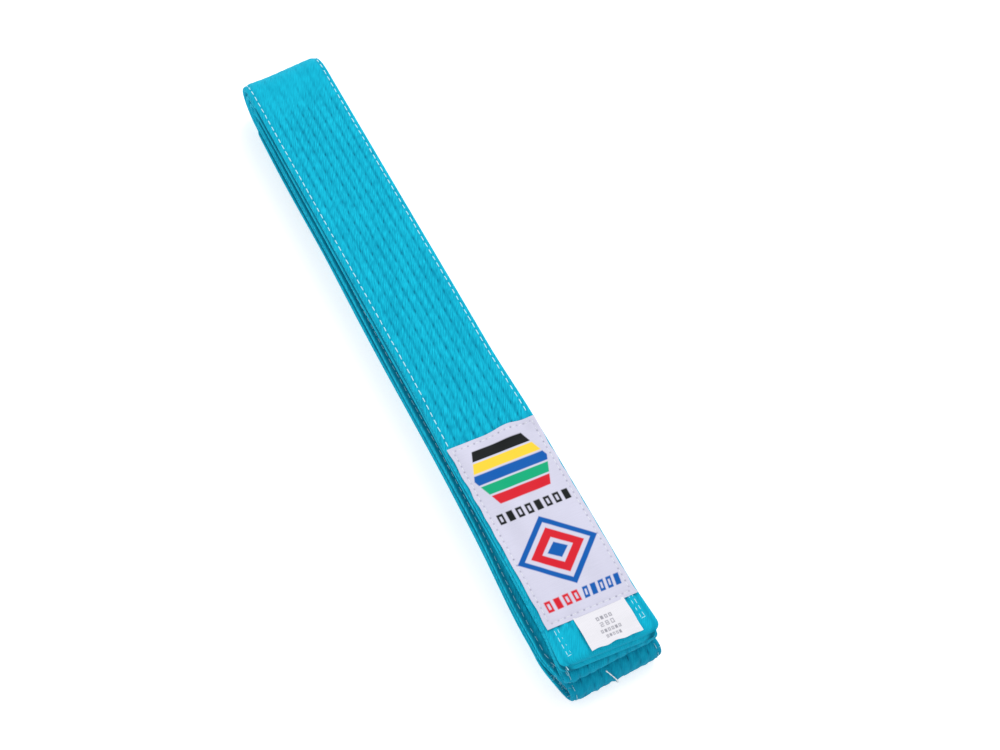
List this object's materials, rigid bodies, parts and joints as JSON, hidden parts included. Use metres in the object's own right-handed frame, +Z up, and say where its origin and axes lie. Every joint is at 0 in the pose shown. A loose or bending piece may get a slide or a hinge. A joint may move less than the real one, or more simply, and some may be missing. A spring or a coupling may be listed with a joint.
{
  "type": "martial arts belt",
  "caption": "Padded, lengthwise quilted martial arts belt folded in halves into a flat bundle, with a sewn label patch and a small size label at the top end.",
  "frame": {"origin": "centre of the folded bundle's footprint, on the surface that it lies on", "axes": "+Z up, +Y along the bundle towards the end with four nested loops, so the labelled end is at -Y and the label reads upright from above with +X to the right"},
  "size_m": [0.0484, 0.3554, 0.0347],
  "materials": {
    "belt_cotton": "teal blue satin-faced cotton, matte with a soft sheen, quilted lengthwise",
    "wadding": "off-white cotton wadding, matte",
    "pale_thread": "pale cyan polyester thread, slight sheen",
    "patch_satin": "lavender white satin with a printed emblem",
    "label_cloth": "white woven tape with faint grey print",
    "white_thread": "white polyester thread"
  },
  "bodies": {
    "lower_half": {"cover_lower_outer": "belt_cotton", "core_lower_outer": "wadding", "cover_lower_inner": "belt_cotton", "core_lower_inner": "wadding", "cover_loop_innermost": "belt_cotton", "core_loop_innermost": "wadding", "cover_loop_inner": "belt_cotton", "core_loop_inner": "wadding", "cover_loop_outer_low": "belt_cotton", "core_loop_outer_low": "wadding", "cover_loop_outermost_low": "belt_cotton", "core_loop_outermost_low": "wadding", "loose_thread": "white_thread"},
    "middle_pair": {"cover_middle_pair": "belt_cotton", "core_middle_pair": "wadding", "cover_loop_outer_high": "belt_cotton", "core_loop_outer_high": "wadding", "cover_loop_outermost_mid": "belt_cotton", "core_loop_outermost_mid": "wadding"},
    "second_run": {"cover_second_run": "belt_cotton", "core_second_run": "wadding", "end_closure_second": "belt_cotton", "cover_loop_outermost_high": "belt_cotton", "core_loop_outermost_high": "wadding"},
    "top_run": {"cover_top_run": "belt_cotton", "core_top_run": "wadding", "end_closure_top": "belt_cotton", "edge_seam_left": "pale_thread", "edge_seam_right": "pale_thread", "end_seam_left": "pale_thread", "end_seam_right": "pale_thread", "label_patch": "patch_satin", "patch_seam": "white_thread"},
    "size_label": {"size_label": "label_cloth"}
  },
  "joints": [
    {"name": "middle_pair_opening", "type": "hinge", "parent": "lower_half", "child": "middle_pair", "pos_m": [0, 0.1611, 0.01665], "axis": [-1, 0, 0], "range_deg": [0, 24], "deforming": ["cover_loop_innermost", "core_loop_innermost", "cover_loop_inner", "core_loop_inner", "cover_loop_outer_low", "core_loop_outer_low", "cover_loop_outermost_low", "core_loop_outermost_low"]},
    {"name": "second_run_opening", "type": "hinge", "parent": "middle_pair", "child": "second_run", "pos_m": [0, 0.1611, 0.01665], "axis": [-1, 0, 0], "range_deg": [0, 24], "deforming": ["cover_loop_outer_high", "core_loop_outer_high", "cover_loop_outermost_mid", "core_loop_outermost_mid"]},
    {"name": "top_run_opening", "type": "hinge", "parent": "second_run", "child": "top_run", "pos_m": [0, 0.1611, 0.01665], "axis": [-1, 0, 0], "range_deg": [0, 48], "deforming": ["cover_loop_outermost_high", "core_loop_outermost_high"]},
    {"name": "size_label_lift", "type": "hinge", "parent": "top_run", "child": "size_label", "pos_m": [0.0023, -0.15265, 0.0337], "axis": [-1, 0, 0], "range_deg": [0, 100]}
  ]
}
